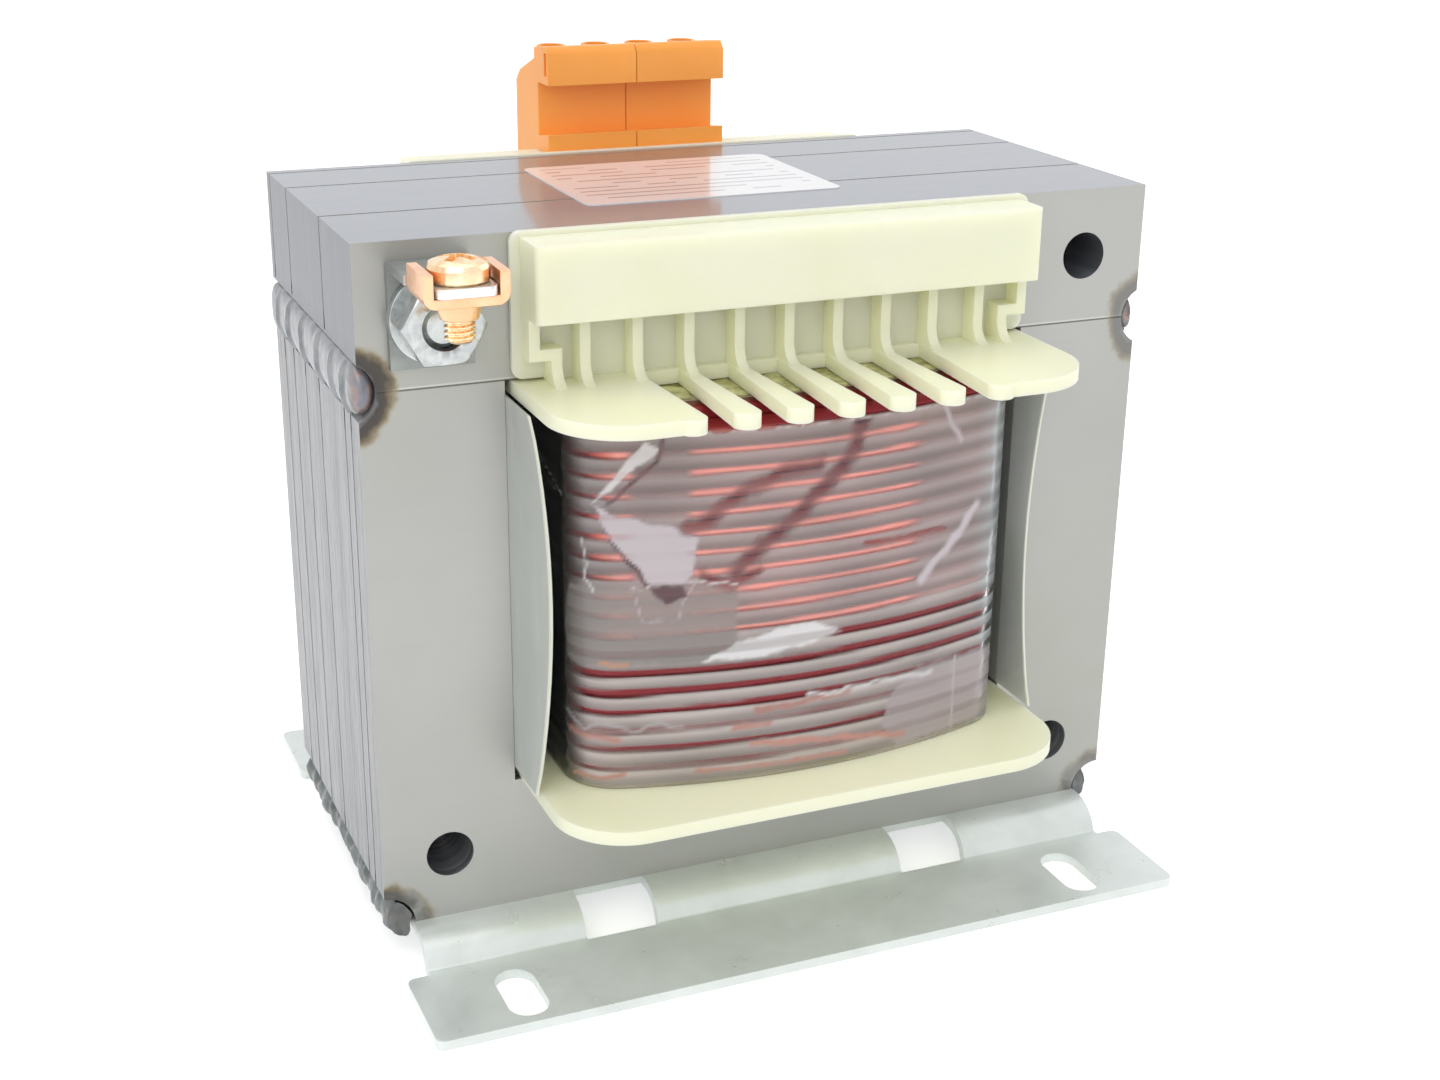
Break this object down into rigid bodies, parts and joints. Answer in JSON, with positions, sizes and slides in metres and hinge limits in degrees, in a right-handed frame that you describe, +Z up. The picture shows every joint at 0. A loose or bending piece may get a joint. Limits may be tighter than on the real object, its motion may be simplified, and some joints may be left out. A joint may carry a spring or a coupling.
{
  "type": "laminated chassis transformer",
  "caption": "Open-frame laminated transformer with welded EI core, moulded bobbin with terminal combs, film-wrapped windings, slotted foot brackets, screw terminals and an earth terminal.",
  "frame": {"origin": "on the floor under the middle of the lamination stack: the undersides of the foot plates are at z = 0", "axes": "+X along the core's width, towards its right as seen from the front; +Y along the stack's depth, towards the side with the orange terminal blocks; +Z up. The earth terminal is on the -Y face"},
  "size_m": [0.1213, 0.1046, 0.1218],
  "materials": {
    "varnished_core": "varnished laminated steel, warm grey at the front and cooler on the cut edges",
    "weld_bead": "varnished weld, lumpy, with brown heat tint",
    "zinc_sheet": "bright zinc-plated steel sheet",
    "nylon": "natural moulded nylon, pale ivory, slightly translucent",
    "winding_wire": "copper-red enamelled wire",
    "insulation_paper": "pale insulation paper",
    "fibre_tape": "yellow-green fibre tape",
    "clear_film": "clear glossy film",
    "grey_board": "thin pale grey insulating sheet",
    "orange_plastic": "orange moulded plastic",
    "zinc_screw": "zinc-plated steel",
    "tinned_strip": "tinned brass strip",
    "sleeved_lead": "sleeved lead wire",
    "copper_part": "bright copper-coloured metal",
    "white_label": "plain white film label"
  },
  "bodies": {
    "root": {"e_laminations": "varnished_core", "i_laminations": "varnished_core", "seam_weld_left": "weld_bead", "seam_weld_right": "weld_bead", "foot_weld_left": "weld_bead", "foot_weld_right": "weld_bead", "foot_bracket_front": "zinc_sheet", "foot_bracket_rear": "zinc_sheet", "bobbin": "nylon", "primary_winding": "winding_wire", "interwinding_insulation": "insulation_paper", "secondary_winding": "winding_wire", "end_tape": "fibre_tape", "film_wrap": "clear_film", "insulating_sheet_left": "grey_board", "insulating_sheet_right": "grey_board", "terminal_block_left": "orange_plastic", "terminal_block_right": "orange_plastic", "terminal_clamps": "zinc_screw", "terminal_screws": "zinc_screw", "terminal_contacts": "tinned_strip", "primary_leads": "sleeved_lead", "secondary_leads": "winding_wire", "earth_bolt": "zinc_screw", "earth_bracket": "zinc_screw", "earth_washer": "zinc_screw", "earth_nut": "zinc_screw", "earth_clamp": "copper_part", "clamp_screw": "copper_part", "rating_label": "white_label"}
  },
  "joints": []
}
